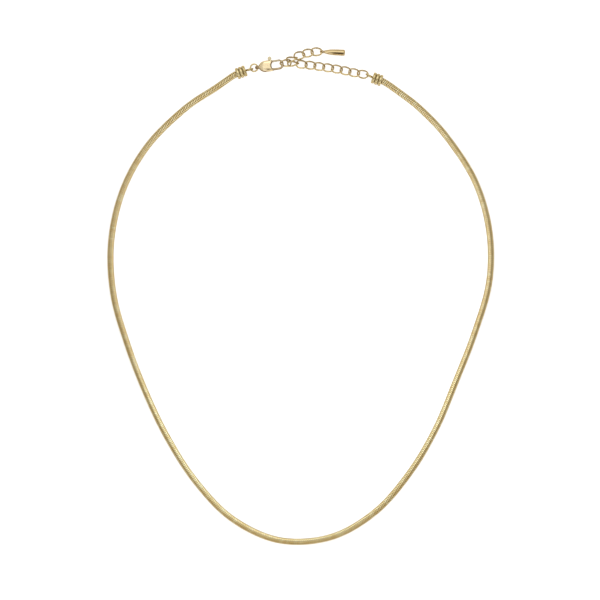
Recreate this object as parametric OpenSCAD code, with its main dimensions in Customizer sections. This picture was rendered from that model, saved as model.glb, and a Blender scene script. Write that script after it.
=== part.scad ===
// Snake chain necklace laid flat: a round snake chain between two ribbed end caps, a jump ring
// and a lobster clasp on the left cap, and a curb extender chain with a smooth drop on the right.
// The clasp is hooked into the tenth extender link, so the necklace is one closed loop.
// Millimetres. The necklace lies on Z = 0, +Y towards the clasp, +X towards the extender's cap.

/* [Loop] */
// Width of the laid loop, between the snake chain's middle lines
loop_w = 126.5; // [120:0.5:132]
// Length of the laid loop, from its bottom to the level of the caps
loop_l = 150.5; // [142:0.5:156]

/* [Snake chain] */
// Thickness of the snake chain across its flats
chain_d = 2.15; // [1.6:0.05:2.4]

/* [End caps] */
// Outer diameter over the ribs
cap_d = 3.75; // [3.4:0.05:4.6]
// Thickness of one rib along the cap
rib_w = 1; // [0.8:0.05:1.4]
// Distance from one rib to the next
rib_pitch = 1.15; // [1:0.05:1.5]
// Depth of the grooves between the ribs
groove_depth = 0.36; // [0.1:0.02:0.4]
// Thickness of the cap's closed end
cap_end_t = 0.6; // [0.4:0.05:1]
// Wire thickness of the soldered eye
eye_wire = 0.46; // [0.36:0.02:0.6]
// Inner radius of the soldered eye
eye_hole_r = 0.9; // [0.8:0.02:1]

/* [Jump ring] */
// Wire thickness of the jump ring
ring_wire = 0.52; // [0.4:0.02:0.6]
// Inner radius of the jump ring
ring_hole_r = 0.95; // [0.8:0.05:1.3]

/* [Extender] */
// Outer length of an extender link
link_l = 4.1; // [3.7:0.1:4.5]
// How far a link's end wires lean out of the flat, in degrees
link_lean = 26.5; // [25:0.5:30]

/* [Drop] */
// Length of the drop without its eye
drop_l = 7.1; // [5:0.1:10]
// Thickness of the drop's fat end
drop_d = 2.1; // [1.6:0.05:2.6]
// Thickness of the drop's neck
drop_neck_d = 0.8; // [0.6:0.05:1.2]
// Wire thickness of the drop's eye
drop_eye_wire = 0.4; // [0.3:0.02:0.5]
// Inner radius of the drop's eye
drop_eye_hole_r = 0.38; // [0.36:0.02:0.6]

/* [Clasp] */
// Length of the clasp's body, from its tail to the hook's opening
clasp_l = 4.8; // [4.4:0.1:5.4]
// Width of the clasp's body
clasp_w = 3.7; // [3.4:0.05:4.2]
// Thickness of the clasp's body at its middle
clasp_t = 2.3; // [2:0.05:2.8]
// Radius of the clasp's domed faces along its length
clasp_dome_r = 6; // [5.5:0.1:9]
// Thickness of the fixed hook
hook_wire = 0.72; // [0.5:0.02:0.76]
// Radius of the hook's round end, to the middle of its wire
hook_r = 1.35; // [1.25:0.01:1.6]
// Distance from the clasp's tail to the middle of the hook's round end
hook_reach = 6.8; // [6.5:0.1:7.6]
// Thickness of the wall round the clasp's eye
clasp_eye_wall = 0.45; // [0.35:0.05:0.6]
// Width of the clasp's eye along its hole
clasp_eye_w = 0.85; // [0.6:0.05:1]
// Inner radius of the clasp's eye
clasp_eye_hole_r = 0.66; // [0.6:0.02:0.8]

/* [Lever] */
// Diameter of the rivet that carries the lever
pin_d = 0.6; // [0.4:0.02:0.8]
// Thickness of the lever
lever_t = 0.74; // [0.5:0.02:0.9]
// Width of the gate arm
gate_w = 0.6; // [0.46:0.02:0.7]
// Radius of the lever's round root
lever_root_r = 0.62; // [0.56:0.02:0.7]
// Radius of the thumb nub
nub_r = 0.6; // [0.4:0.02:0.66]
// Height of the nub's middle above the rivet
nub_h = 1.1; // [0.9:0.05:1.4]

/* [Clearances] */
// Room between two wires that hang in each other
wire_play = 0.06; // [0.04:0.01:0.1]
// Room round the chain's corners in the caps
bore_play = 0.05; // [0.02:0.01:0.1]
// Room between the chain's end and the bottom of the bore
end_play = 0.15; // [0.05:0.05:0.4]
// Room on each face of the lever in its slot
slot_play = 0.05; // [0.03:0.01:0.08]
// Room round the rivet in the lever
pin_play = 0.03; // [0.02:0.01:0.06]
// Room round the rivet in the body
rivet_play = 0.01; // [0.005:0.005:0.02]
// Gap between the gate's tip and the hook's tip
gate_gap = 0.06; // [0.04:0.01:0.1]

/* [Hidden] */

// Pale and deep gold
GOLD = [0.86, 0.74, 0.45];
PALE_GOLD = [0.93, 0.84, 0.60];

// The clasp's tail in the plane, and the direction in which the clasp points
CLASP_PLACE = [-14.15, 75.97];
CLASP_YAW = 8;
// Height of the clasp's middle plane
CLASP_Z = 1.6;

// Where the hooked link's end wire lies in the hook: an angle round the hook's round end, slack towards
// the round end's middle and rise above the clasp's middle plane
HOOKED_AT = 24;
HOOKED_SLACK = 0.06;
HOOKED_RISE = 0.16;

// Sizes of an extender link as shares of its outer length
LINK_WIRE_SHARE = 0.127;
LINK_WIDTH_SHARE = 0.732;
LINK_PLAY_SHARE = 0.0195;
LINK_RINGS = 16;
LINK_SIDES = 6;
// Exponent of a link's oval: 2 is an ellipse, more is squarer
LINK_OVAL = 2.3;

// How each extender link hangs in the one that carries it, seen from the clasp.
// Columns: carrier (the link that carries it, 0 for the hooked one), roll, pitch and yaw in degrees, and its
// place in the carrier's end in link wires: slack along the chain, side step and lift.
LINK_TABLE = [
    [2, 15, 13, -11, 0.15, 0, 0],
    [3, 0, 3, -12, 0.05, 0, 0],
    [4, 0, 0, -13, 0.05, 0, 0],
    [5, 0, 0, -10, 0.05, 0, 0],
    [6, 0, 0, -8, 0, 0, 0],
    [7, 0, 0, -8, 0, 0, 0],
    [8, 0, 0, -8, 0.1, 0.15, -0.1],
    [9, -5, -8, -6, 0.05, -0.4, 0.05],
    [10, -48, -6, 3, 0.9, -0.6, 0.1],
    [0, 41, -4, 5, 0, 0, 0],
    [10, -49, -9, 17, 0.95, 2.05, 0.35],
    [11, -6, -8, 15, 0.35, 0.95, 0],
    [12, 0, -3, 10, 0.1, 0.4, 0.3],
    [13, 0, 2, 0, 0.1, 0.2, 0.15]
];

// How much of an eye's wire, past its middle, stands clear of the cap's face
EYE_SEAT = 0.25;
// Directions of the caps, from their eyes towards the chain, and of their slightly bent eyes
LEFT_CAP_YAW = 201;
LEFT_EYE_YAW = 193;
RIGHT_CAP_YAW = -20;
RIGHT_EYE_YAW = -28;
// Direction of the jump ring from the clasp to the left cap, how far the pull at each of its ends turns
// from that, and how low it lies in the left eye
RING_YAW = 196;
RING_BEND = 11;
RING_SAG = 0.2;

// Direction of the drop
DROP_YAW = -3;
// Outline of the drop's swelling, with columns: thickness as a share of the fat end's, place as a share
// of the drop's length
DROP_SWELL = [[0.72, 0.2], [0.88, 0.38], [0.95, 0.6]];
// Radius of the fat end's round edge as a share of the end's radius
DROP_EDGE = 0.45;

// Points that the snake chain passes, from the left cap round the bottom to the right cap, with columns:
// place across as a share of the loop's width, place along as a share of its length from the caps' level
CAPS_LEVEL = 69.25;
CHAIN_ROUTE = [
    [-0.223, 0], [-0.308, -0.048], [-0.405, -0.13], [-0.47, -0.229], [-0.5, -0.342],
    [-0.494, -0.457], [-0.458, -0.566], [-0.409, -0.674], [-0.35, -0.777], [-0.275, -0.874],
    [-0.18, -0.955], [-0.057, -1.002], [0.079, -0.995], [0.196, -0.939], [0.287, -0.852],
    [0.356, -0.754], [0.409, -0.648], [0.458, -0.542], [0.496, -0.43], [0.496, -0.316],
    [0.458, -0.206], [0.385, -0.11], [0.316, -0.048], [0.263, -0.013]
];
CHAIN_SIDES = 8;
// Rings in each stretch between two of the route's points
STRETCH_RINGS = 3;
// How strongly the chain keeps a cap's direction at its mouth, and how far from there it comes down
MOUTH_PULL = 4;
SETTLE = 14;

// Place of the lever's rivet from the clasp's tail, and its length as a share of the body's thickness
PIN_PLACE = [clasp_l - 0.5, clasp_w / 2 - 0.5];
RIVET_SHARE = 0.8;
// Place of the slanted joint between the gate's tip and the hook's tip, and its turn in degrees
JOINT_PLACE = [hook_reach + 0.3, hook_r];
JOINT_SLANT = 30;
JOINT_SPAN = 2;
// How far the thumb nub stands ahead of the rivet
NUB_AHEAD = -0.24;
// Width of the nub's stem as a share of the nub's
STEM_SHARE = 0.7;
// Where along the body its nose ends and its straight stretch begins, and the middle of its domes
NOSE_SHARE = 0.5;
DOME_SHARE = 0.6;
// Half width of the body's tail
TAIL_HALF_W = 0.2;
// Distance between the nose's two cheeks as a share of the eye's width
CHEEK_SPAN = 1.2;
// How deep the hook's lower branch is rooted in the body
HOOK_ROOT = 0.4;
// Radius of the faces' rounded sides as a share of the body's width, and how far the same curve would rise
// above the body's middle
SIDE_SHARE = 0.59;
SIDE_RISE = 0.45;
// Radius and depth of the hollow in the body's front edge, and how far it lies beside the middle
FRONT_HOLLOW_R = 2.1;
FRONT_HOLLOW_DEPTH = 0.45;
FRONT_HOLLOW_SIDE = -0.2;

$fn = 48;
SMALL = 0.01;

// Lengths worked out from the sizes above
chain_r = chain_d / 2;
chain_corner_r = chain_r / cos(180 / CHAIN_SIDES);
cap_r = cap_d / 2;
cap_core_r = cap_r - groove_depth;
cap_bore_r = chain_corner_r + bore_play;
cap_l = 2 * rib_pitch + rib_w;
eye_r = eye_hole_r + eye_wire / 2;
ring_r = ring_hole_r + ring_wire / 2;
link_wire = LINK_WIRE_SHARE * link_l;
link_a = (link_l - link_wire) / 2;
link_b = (LINK_WIDTH_SHARE * link_l - link_wire) / 2;
link_twist = tan(link_lean) / link_a;
link_nest = link_wire + LINK_PLAY_SHARE * link_l;
drop_eye_r = drop_eye_hole_r + drop_eye_wire / 2;
clasp_eye_r = clasp_eye_hole_r + clasp_eye_wall;
slot_t = lever_t + 2 * slot_play;
slot_r = lever_root_r + 2 * slot_play;
clasp_side_r = SIDE_SHARE * clasp_w;
nose_l = NOSE_SHARE * clasp_l;
nose_rise = clasp_w / 2 - TAIL_HALF_W;
nose_r = (pow(nose_l, 2) + pow(nose_rise, 2)) / (2 * nose_rise);

// Matrix of a piece that is rolled about its length, pitched up at its far end and turned in the plane
function turned(roll, pitch, yaw) = [
    [
        cos(yaw) * cos(pitch),
        -sin(yaw) * cos(roll) - cos(yaw) * sin(pitch) * sin(roll),
        sin(yaw) * sin(roll) - cos(yaw) * sin(pitch) * cos(roll)
    ],
    [
        sin(yaw) * cos(pitch),
        cos(yaw) * cos(roll) - sin(yaw) * sin(pitch) * sin(roll),
        -cos(yaw) * sin(roll) - sin(yaw) * sin(pitch) * cos(roll)
    ],
    [sin(pitch), cos(pitch) * sin(roll), cos(pitch) * cos(roll)]
];
function heading(yaw) = [cos(yaw), sin(yaw), 0];
function flat_turn(yaw, p) = turned(0, 0, yaw) * p;

// A point of the clasp, from its own length, width and height
function clasp_point(u, v, w = 0) =
    [CLASP_PLACE[0], CLASP_PLACE[1], CLASP_Z] + flat_turn(CLASP_YAW, [u, v, w]);

// Columns of the links' table
function link_carrier(i) = LINK_TABLE[i - 1][0];
function link_roll(i) = LINK_TABLE[i - 1][1];
function link_pitch(i) = LINK_TABLE[i - 1][2];
function link_yaw(i) = LINK_TABLE[i - 1][3];
function link_slack(i) = LINK_TABLE[i - 1][4];
function link_side(i) = LINK_TABLE[i - 1][5];
function link_lift(i) = LINK_TABLE[i - 1][6];

// Where each extender link lies
function link_turn(i) = turned(link_roll(i), link_pitch(i), link_yaw(i));
hooked_reach = hook_r - (hook_wire + link_wire) / 2 - wire_play - HOOKED_SLACK;
hooked_end = clasp_point(
    hook_reach + hooked_reach * cos(HOOKED_AT), hooked_reach * sin(HOOKED_AT), HOOKED_RISE);
function link_rest(i) = link_wire * [-link_slack(i), link_side(i), link_lift(i)];
function link_near_end(i) = link_carrier(i) == 0 ? hooked_end :
    link_far_end(link_carrier(i)) + flat_turn(link_yaw(i), [-link_nest, 0, 0] + link_rest(i));
function link_centre(i) = link_near_end(i) + link_turn(i) * [link_a, 0, 0];
function link_far_end(i) = link_centre(i) + link_turn(i) * [link_a, 0, 0];

// Distance from an upright eye's middle to a wire held at its far side. The wire lies nearer when it
// sags, and a wire that bends or leans within the eye's width needs more room.
function eye_reach(hole_r, wire, sag = 0, spread = 0) =
    sqrt(max(0, pow(hole_r - wire / 2 - wire_play - spread, 2) - pow(sag, 2)));

// The right cap hangs on the first link
first_lean = link_lean - link_roll(1);
right_sag = cap_r - link_far_end(1)[2];
right_eye = [link_far_end(1)[0], link_far_end(1)[1], cap_r] + heading(RIGHT_EYE_YAW)
    * eye_reach(eye_hole_r, link_wire, right_sag, eye_wire / 2 * tan(first_lean));
right_face = right_eye + heading(RIGHT_EYE_YAW) * (eye_r + EYE_SEAT * eye_wire);

// The jump ring hangs in the clasp's eye, and the left cap on the jump ring
ring_spread = ring_hole_r - sqrt(pow(ring_hole_r, 2) - pow(clasp_eye_w / 2, 2));
ring_right = clasp_point(-eye_reach(clasp_eye_hole_r, ring_wire, 0, ring_spread), 0);
left_z = cap_r - RING_SAG;
ring_slope = asin((ring_right[2] - left_z) / (2 * ring_r * cos(RING_BEND)));
function ring_point(way) =
    turned(0, -ring_slope, RING_YAW) * (ring_r * [way * cos(RING_BEND), sin(RING_BEND), 0]);
ring_centre = ring_right - ring_point(-1);
ring_left = ring_centre + ring_point(1);
left_eye = [ring_left[0], ring_left[1], cap_r]
    + heading(LEFT_EYE_YAW)
    * eye_reach(eye_hole_r, ring_wire, RING_SAG, eye_wire / 2 * tan(RING_YAW + RING_BEND - LEFT_EYE_YAW));
left_face = left_eye + heading(LEFT_EYE_YAW) * (eye_r + EYE_SEAT * eye_wire);

// The snake chain's middle line, from the bottom of the left bore to the bottom of the right one
left_mouth = left_face + heading(LEFT_CAP_YAW) * cap_l;
right_mouth = right_face + heading(RIGHT_CAP_YAW) * cap_l;
left_inside = left_face + heading(LEFT_CAP_YAW) * (cap_end_t + end_play);
right_inside = right_face + heading(RIGHT_CAP_YAW) * (cap_end_t + end_play);
left_stop = [left_mouth[0], left_mouth[1]];
right_stop = [right_mouth[0], right_mouth[1]];
route = concat(
    [left_stop],
    [for (row = CHAIN_ROUTE) [row[0] * loop_w, CAPS_LEVEL + row[1] * loop_l]],
    [right_stop]
);
last_stop = len(route) - 1;
function stop_pull(i) =
    i == 0 ? MOUTH_PULL * [cos(LEFT_CAP_YAW), sin(LEFT_CAP_YAW)] :
    i == last_stop ? -MOUTH_PULL * [cos(RIGHT_CAP_YAW), sin(RIGHT_CAP_YAW)] :
    (route[i + 1] - route[i - 1]) / 2;
function ease(t) = t * t * (3 - 2 * t);
function curve_at(i, t) =
    route[i] * (1 - ease(t)) + route[i + 1] * ease(t)
    + stop_pull(i) * (t * (1 - t) * (1 - t)) - stop_pull(i + 1) * (t * t * (1 - t));
function chain_z(p) = chain_r + (cap_r - chain_r)
    * (1 - ease(min(1, norm(p - left_stop) / SETTLE, norm(p - right_stop) / SETTLE)));
function on_route(i, t) = let (p = curve_at(i, t)) [p[0], p[1], chain_z(p)];
chain_line = concat(
    [left_inside],
    [for (i = [0:last_stop - 1], k = [0:STRETCH_RINGS - 1]) on_route(i, k / STRETCH_RINGS)],
    [on_route(last_stop - 1, 1)],
    [right_inside]
);

// Unit vector
function unit(v) = v / norm(v);

// Direction of an open line at its i-th point
function line_way(line, i) =
    unit(line[min(i + 1, len(line) - 1)] - line[max(i - 1, 0)]);

// Ring of corners round a point, square to a direction, with flats below and above
function ring_corners(centre, way, r, sides) =
    let (across = unit(cross([0, 0, 1], way)), up = cross(way, across))
    [for (k = [0:sides - 1])
        let (a = (k + 0.5) * 360 / sides)
        centre + r * (across * cos(a) + up * sin(a))];

// Two triangles for each side between ring i and ring j
function wall_faces(i, j, sides) = [
    for (k = [0:sides - 1])
        let (m = (k + 1) % sides, a = i * sides + k, b = i * sides + m, c = j * sides + m, d = j * sides + k)
        for (f = [[a, d, c], [a, c, b]]) f
];

// A tube swept along an open line
module swept_tube(line, r, sides) {
    rings = len(line);
    points = [for (i = [0:rings - 1]) each ring_corners(line[i], line_way(line, i), r, sides)];
    faces = concat(
        [[for (k = [0:sides - 1]) k]],
        [for (i = [0:rings - 2]) each wall_faces(i, i + 1, sides)],
        [[for (k = [sides - 1:-1:0]) (rings - 1) * sides + k]]
    );
    polyhedron(points, faces, convexity = 10);
}

module snake_chain() {
    color(GOLD) swept_tube(chain_line, chain_corner_r, CHAIN_SIDES);
}

// A wire ring standing upright along +X, its middle at the origin
module upright_ring(r, wire) {
    rotate([90, 0, 0]) rotate_extrude() translate([r, 0]) circle(d = wire);
}

// An end cap along +X: closed end and eye at the left, ribs, and a blind bore open at the right
module end_cap(eye_yaw) {
    difference() {
        rotate([0, 90, 0]) union() {
            cylinder(r = cap_core_r, h = cap_l);
            for (k = [0:2])
                translate([0, 0, rib_w / 2 + k * rib_pitch])
                    rotate_extrude() translate([cap_r - rib_w / 2, 0]) circle(d = rib_w);
        }
        translate([cap_end_t, 0, 0]) rotate([0, 90, 0]) cylinder(r = cap_bore_r, h = cap_l);
    }
    rotate([0, 0, eye_yaw]) translate([-eye_r - EYE_SEAT * eye_wire, 0, 0]) upright_ring(eye_r, eye_wire);
}

module end_cap_left() {
    color(PALE_GOLD) translate(left_face) rotate([0, 0, LEFT_CAP_YAW])
        end_cap(LEFT_EYE_YAW - LEFT_CAP_YAW);
}

module end_cap_right() {
    color(PALE_GOLD) translate(right_face) rotate([0, 0, RIGHT_CAP_YAW])
        end_cap(RIGHT_EYE_YAW - RIGHT_CAP_YAW);
}

module jump_ring() {
    color(GOLD) translate(ring_centre) rotate([0, ring_slope, RING_YAW])
        rotate_extrude() translate([ring_r, 0]) circle(d = ring_wire);
}

// A signed power, which draws an oval between an ellipse and a rectangle
function oval_power(v) = sign(v) * pow(abs(v), 2 / LINK_OVAL);

// A link's middle line in its own plane, twisted so that two links lie flat through each other
function link_line(t) =
    let (x = link_a * oval_power(cos(t)), y = link_b * oval_power(sin(t)))
    [x, y, -link_twist * x * y];

// One curb link, a twisted wire oval swept in a closed loop
module curb_link() {
    step = 360 / LINK_RINGS;
    points = [for (i = [0:LINK_RINGS - 1])
        let (way = unit(link_line((i + 1) * step) - link_line((i - 1) * step)))
        each ring_corners(link_line(i * step), way, link_wire / 2, LINK_SIDES)];
    faces = [for (i = [0:LINK_RINGS - 1]) each wall_faces(i, (i + 1) % LINK_RINGS, LINK_SIDES)];
    polyhedron(points, faces, convexity = 6);
}

module extender_link(i) {
    color(GOLD) translate(link_centre(i))
        rotate([link_roll(i), -link_pitch(i), link_yaw(i)])
            curb_link();
}

// The drop's side, with columns: distance from its axis, place along it
drop_r = drop_d / 2;
drop_edge = DROP_EDGE * drop_r;
drop_side = concat(
    [for (row = DROP_SWELL) [row[0] * drop_r, row[1] * drop_l]],
    [[drop_r, drop_l - drop_edge]]
);

// The drop hangs on the last link and lies on its side
drop_place = link_far_end(len(LINK_TABLE)) + heading(DROP_YAW) * eye_reach(drop_eye_hole_r, link_wire);
drop_pitch = asin(max([for (row = drop_side) (row[0] - drop_place[2]) / (row[1] + drop_eye_r)]));

// Half outline of the drop: a neck that widens to a fat, blunt end with a round edge
module drop_outline() {
    translate([drop_r - drop_edge, drop_l - drop_edge]) circle(r = drop_edge);
    polygon(concat(
        [[0, 0], [drop_neck_d / 2, 0]],
        drop_side,
        [[drop_r - drop_edge, drop_l], [0, drop_l]]
    ));
}

module extender_drop() {
    color(PALE_GOLD) translate(drop_place) rotate([0, -drop_pitch, DROP_YAW]) {
        rotate([-link_lean, 0, 0]) upright_ring(drop_eye_r, drop_eye_wire);
        translate([drop_eye_r, 0, 0]) rotate([0, 90, 0]) rotate_extrude() drop_outline();
    }
}

// Moves a clasp piece, drawn from its tail along +X in its middle plane, to its place
module at_clasp() {
    translate([CLASP_PLACE[0], CLASP_PLACE[1], CLASP_Z]) rotate([0, 0, CLASP_YAW]) children();
}

// Plan of the body: a round nose between two arcs, then a straight stretch
module body_plan() {
    intersection_for (way = [-1, 1]) {
        translate([nose_l, way * (clasp_w / 2 - nose_r)]) circle(r = nose_r, $fn = 96);
    }
    translate([nose_l, -clasp_w / 2]) square([clasp_l - nose_l, clasp_w]);
}

// Cuts the gate side or the hook side of the slanted joint away
module joint_side(way) {
    translate([JOINT_PLACE[0], JOINT_PLACE[1], 0]) rotate([0, 0, JOINT_SLANT])
        translate([way * (JOINT_SPAN - gate_gap) / 2, 0, 0]) cube(JOINT_SPAN, center = true);
}

// The fixed hook: a straight lower branch and a round end whose tip leans over the gate
module hook() {
    translate([clasp_l - HOOK_ROOT, -hook_r, 0]) rotate([0, 90, 0])
        cylinder(d = hook_wire, h = hook_reach - clasp_l + HOOK_ROOT);
    difference() {
        translate([hook_reach, 0, 0]) rotate([0, 0, -90])
            rotate_extrude(angle = 180) translate([hook_r, 0]) circle(d = hook_wire);
        joint_side(-1);
    }
}

// The eye, upright at the tail, with a rounded rim
module clasp_eye() {
    straight = clasp_eye_w - clasp_eye_wall;
    rotate([90, 0, 0]) rotate_extrude() translate([clasp_eye_r - clasp_eye_wall / 2, 0]) {
        square([clasp_eye_wall, straight], center = true);
        for (way = [-1, 1]) translate([0, way * straight / 2]) circle(d = clasp_eye_wall);
    }
}

// The body without its slot and bore: the plan, domed along its length, with rounded sides
module body_block() {
    intersection() {
        linear_extrude(clasp_t + 3 * SIDE_RISE, center = true) body_plan();
        intersection_for (way = [-1, 1]) {
            translate([DOME_SHARE * clasp_l, 0, way * (clasp_t / 2 - clasp_dome_r)]) rotate([90, 0, 0])
                cylinder(r = clasp_dome_r, h = 2 * clasp_w, center = true, $fn = 96);
        }
        intersection_for (way = [-1, 1]) {
            translate([-clasp_l, 0, way * (clasp_t / 2 + SIDE_RISE - clasp_side_r)]) rotate([0, 90, 0])
                cylinder(r = clasp_side_r, h = 3 * clasp_l, $fn = 96);
        }
    }
}

module clasp_body() {
    color(PALE_GOLD) at_clasp() {
        difference() {
            body_block();
            // Slot for the lever
            translate([PIN_PLACE[0] - slot_r, PIN_PLACE[1] - slot_r, -slot_t / 2])
                cube([clasp_l, clasp_w, slot_t]);
            // Bore for the rivet
            translate([PIN_PLACE[0], PIN_PLACE[1], -clasp_t])
                cylinder(d = pin_d + 2 * rivet_play, h = 2 * clasp_t);
            // Room for the eye's hole and the jump ring, between the nose's two cheeks
            rotate([90, 0, 0]) cylinder(
                r = clasp_eye_hole_r + clasp_eye_wall / 4, h = CHEEK_SPAN * clasp_eye_w, center = true);
            // The hollow front edge
            translate([clasp_l + FRONT_HOLLOW_R - FRONT_HOLLOW_DEPTH, FRONT_HOLLOW_SIDE, -clasp_t])
                cylinder(r = FRONT_HOLLOW_R, h = 2 * clasp_t);
        }
        clasp_eye();
        hook();
    }
}

// The lever, drawn round its rivet: root, gate arm and thumb nub
module clasp_lever() {
    color(GOLD) at_clasp() translate([0, 0, -lever_t / 2]) difference() {
        union() {
            translate(PIN_PLACE) cylinder(r = lever_root_r, h = lever_t);
            difference() {
                translate([PIN_PLACE[0], hook_r - gate_w / 2, 0])
                    cube([JOINT_PLACE[0] + gate_w - PIN_PLACE[0], gate_w, lever_t]);
                joint_side(1);
            }
            translate(PIN_PLACE + [NUB_AHEAD - STEM_SHARE * nub_r, 0])
                cube([2 * STEM_SHARE * nub_r, nub_h, lever_t]);
            translate(PIN_PLACE + [NUB_AHEAD, nub_h]) cylinder(r = nub_r, h = lever_t);
        }
        translate([PIN_PLACE[0], PIN_PLACE[1], -SMALL])
            cylinder(d = pin_d + 2 * pin_play, h = lever_t + 2 * SMALL);
    }
}

module clasp_pin() {
    pin_l = RIVET_SHARE * clasp_t;
    color(GOLD) at_clasp() translate([PIN_PLACE[0], PIN_PLACE[1], -pin_l / 2]) cylinder(d = pin_d, h = pin_l);
}

snake_chain();
end_cap_left();
end_cap_right();
jump_ring();
clasp_body();
clasp_lever();
clasp_pin();
extender_link(1);  // extender_link_01
extender_link(2);  // extender_link_02
extender_link(3);  // extender_link_03
extender_link(4);  // extender_link_04
extender_link(5);  // extender_link_05
extender_link(6);  // extender_link_06
extender_link(7);  // extender_link_07
extender_link(8);  // extender_link_08
extender_link(9);  // extender_link_09
extender_link(10);  // extender_link_10
extender_link(11);  // extender_link_11
extender_link(12);  // extender_link_12
extender_link(13);  // extender_link_13
extender_link(14);  // extender_link_14
extender_drop();
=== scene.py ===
import math

import bmesh
import bpy
import numpy as np
from mathutils import Matrix, Vector


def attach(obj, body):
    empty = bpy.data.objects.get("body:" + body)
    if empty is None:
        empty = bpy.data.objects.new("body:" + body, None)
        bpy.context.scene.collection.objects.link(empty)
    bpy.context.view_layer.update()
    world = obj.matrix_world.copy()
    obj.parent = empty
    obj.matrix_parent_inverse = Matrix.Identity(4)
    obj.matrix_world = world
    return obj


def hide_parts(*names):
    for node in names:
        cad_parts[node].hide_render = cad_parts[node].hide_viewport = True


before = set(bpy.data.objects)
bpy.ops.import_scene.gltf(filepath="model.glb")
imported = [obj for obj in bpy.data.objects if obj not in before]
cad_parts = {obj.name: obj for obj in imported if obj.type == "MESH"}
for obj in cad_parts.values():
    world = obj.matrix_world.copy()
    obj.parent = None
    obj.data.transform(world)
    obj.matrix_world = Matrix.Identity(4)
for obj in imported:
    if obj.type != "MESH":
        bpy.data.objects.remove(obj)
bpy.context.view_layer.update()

MM = 0.001

# Sizes and places, in millimetres, as the solids have them

CHAIN_R = 1.075
CAP_R = 1.875
CAP_BORE_R = 1.21
CAP_RIBS = 3
CAP_RIB_W = 1.0
CAP_RIB_PITCH = 1.15
CAP_GROOVE = 0.36
CAP_LENGTH = 3.3
EYE_R = 1.13
EYE_WIRE = 0.46
EYE_SEAT = 0.25
RING_R = 1.21
RING_WIRE = 0.52
LINK_LENGTH = 4.1
LINK_WIRE = 0.127 * LINK_LENGTH
LINK_A = (LINK_LENGTH - LINK_WIRE) / 2
LINK_B = (0.732 * LINK_LENGTH - LINK_WIRE) / 2
LINK_LEAN = 26.5
LINK_TWIST = math.tan(math.radians(LINK_LEAN)) / LINK_A
LINK_NEST = LINK_WIRE + 0.0195 * LINK_LENGTH
LINK_OVAL = 2.3
DROP_LENGTH = 7.1
DROP_R = 1.05
DROP_NECK_R = 0.4
DROP_EDGE = 0.47
DROP_EYE_R = 0.58
DROP_EYE_WIRE = 0.4

# The caps' closed faces, and the turns in the plane of the caps and of their bent eyes
LEFT_FACE = (-18.3533, 74.8935, CAP_R)
RIGHT_FACE = (23.8031, 72.5594, CAP_R)
LEFT_CAP_YAW = 201
LEFT_EYE_YAW = 193
RIGHT_CAP_YAW = -20
RIGHT_EYE_YAW = -28
# How far from its cap's closed face each end of the chain lies
CAP_END = 0.75

RING_CENTRE = (-15.5921, 75.8314, 1.6375)
RING_SLOPE = -1.80923
RING_YAW = 196

# The clasp's own X runs from its eye to its hook, and its gate is on its upper side
CLASP_PLACE = (-14.15, 75.97, 1.6)
CLASP_YAW = 8
CLASP_LENGTH = 4.8
CLASP_HALF_W = 1.85
CLASP_HALF_T = 1.15
CLASP_DOME_R = 6.0
CLASP_DOME_AT = 2.88
NOSE_LENGTH = 2.4
TAIL_HALF_W = 0.2
CLASP_EYE_HOLE_R = 0.66
CLASP_EYE_WALL = 0.45
CLASP_EYE_W = 0.85
HOOK_WIRE = 0.72
HOOK_R = 1.35
HOOK_REACH = 6.8
JOINT_PLACE = (7.1, 1.35)
JOINT_SLANT = 30
JOINT_GAP = 0.06
SLOT_HALF_T = 0.42
SLOT_R = 0.72
FRONT_R = 2.1
FRONT_DEPTH = 0.45
FRONT_SIDE = -0.2
PIN_PLACE = (4.3, 1.35)
PIN_R = 0.3
PIN_LENGTH = 1.84
LEVER_T = 0.74
LEVER_ROOT_R = 0.62
GATE_W = 0.6
NUB_R = 0.6
NUB_PLACE = (4.06, 2.45)
STEM_HALF_W = 0.42

DROP_PLACE = (7.04358, 81.2908, 0.806402)
DROP_PITCH = 2.2628
DROP_YAW = -3

# Where the hooked link's wire lies in the hook, and how every other link hangs in its carrier: the carrier,
# roll, pitch and yaw, then slack, side step and lift in link wires
HOOKED_END = (-6.89916, 77.2394, 1.76)
HOOKED = 10
LINK_TABLE = {
    1: (2, 15, 13, -11, 0.15, 0, 0),
    2: (3, 0, 3, -12, 0.05, 0, 0),
    3: (4, 0, 0, -13, 0.05, 0, 0),
    4: (5, 0, 0, -10, 0.05, 0, 0),
    5: (6, 0, 0, -8, 0, 0, 0),
    6: (7, 0, 0, -8, 0, 0, 0),
    7: (8, 0, 0, -8, 0.1, 0.15, -0.1),
    8: (9, -5, -8, -6, 0.05, -0.4, 0.05),
    9: (10, -48, -6, 3, 0.9, -0.6, 0.1),
    10: (0, 41, -4, 5, 0, 0, 0),
    11: (10, -49, -9, 17, 0.95, 2.05, 0.35),
    12: (11, -6, -8, 15, 0.35, 0.95, 0),
    13: (12, 0, -3, 10, 0.1, 0.4, 0.3),
    14: (13, 0, 2, 0, 0.1, 0.2, 0.15),
}

# Points that the snake chain passes, from the left cap round the bottom to the right cap: place across as a
# share of the loop's width, and place along as a share of its length from the caps' level
LOOP_W = 126.5
LOOP_L = 150.5
CAPS_LEVEL = 69.25
CHAIN_ROUTE = [
    (-0.223, 0), (-0.308, -0.048), (-0.405, -0.13), (-0.47, -0.229), (-0.5, -0.342),
    (-0.494, -0.457), (-0.458, -0.566), (-0.409, -0.674), (-0.35, -0.777), (-0.275, -0.874),
    (-0.18, -0.955), (-0.057, -1.002), (0.079, -0.995), (0.196, -0.939), (0.287, -0.852),
    (0.356, -0.754), (0.409, -0.648), (0.458, -0.542), (0.496, -0.43), (0.496, -0.316),
    (0.458, -0.206), (0.385, -0.11), (0.316, -0.048), (0.263, -0.013),
]
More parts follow.
